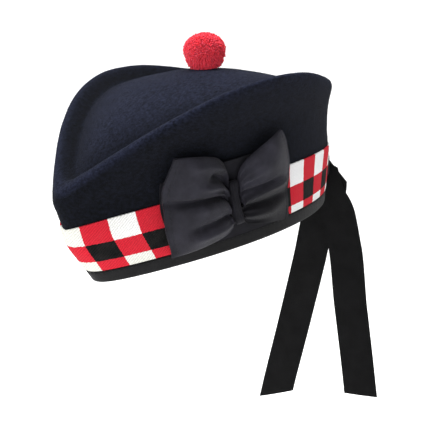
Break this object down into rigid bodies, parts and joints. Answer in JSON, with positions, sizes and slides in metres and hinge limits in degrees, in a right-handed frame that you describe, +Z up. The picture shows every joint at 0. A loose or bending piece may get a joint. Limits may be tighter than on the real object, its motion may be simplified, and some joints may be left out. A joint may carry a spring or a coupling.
{
  "type": "glengarry cap",
  "caption": "Boat-shaped felt cap with a rolled ridge, a red and white diced band with a bound rim, a red wool toorie, a black ribbon cockade on its left side and two ribbon tails at the back.",
  "frame": {"origin": "middle of the rim, where the head goes in", "axes": "+Z up, -Y towards the front of the cap as worn, +X towards the wearer's left side, where the cockade is; the cap is worn nose down by 7 degrees"},
  "size_m": [0.1638, 0.3027, 0.3367],
  "materials": {
    "navy_felt": "matt milled wool felt",
    "diced_wool": "matt woven wool with red, white and black checks",
    "black_ribbon": "ribbed silk or rayon ribbon with a soft sheen",
    "red_wool": "fluffy wool yarn"
  },
  "bodies": {
    "root": {"crown": "navy_felt", "diced_band": "diced_wool", "rim_binding": "black_ribbon", "toorie": "red_wool", "cockade_backing": "black_ribbon", "bow_wing_front": "black_ribbon", "bow_wing_back": "black_ribbon", "bow_knot": "black_ribbon", "back_tie": "black_ribbon", "tail_left": "black_ribbon", "tail_right": "black_ribbon"}
  },
  "joints": []
}
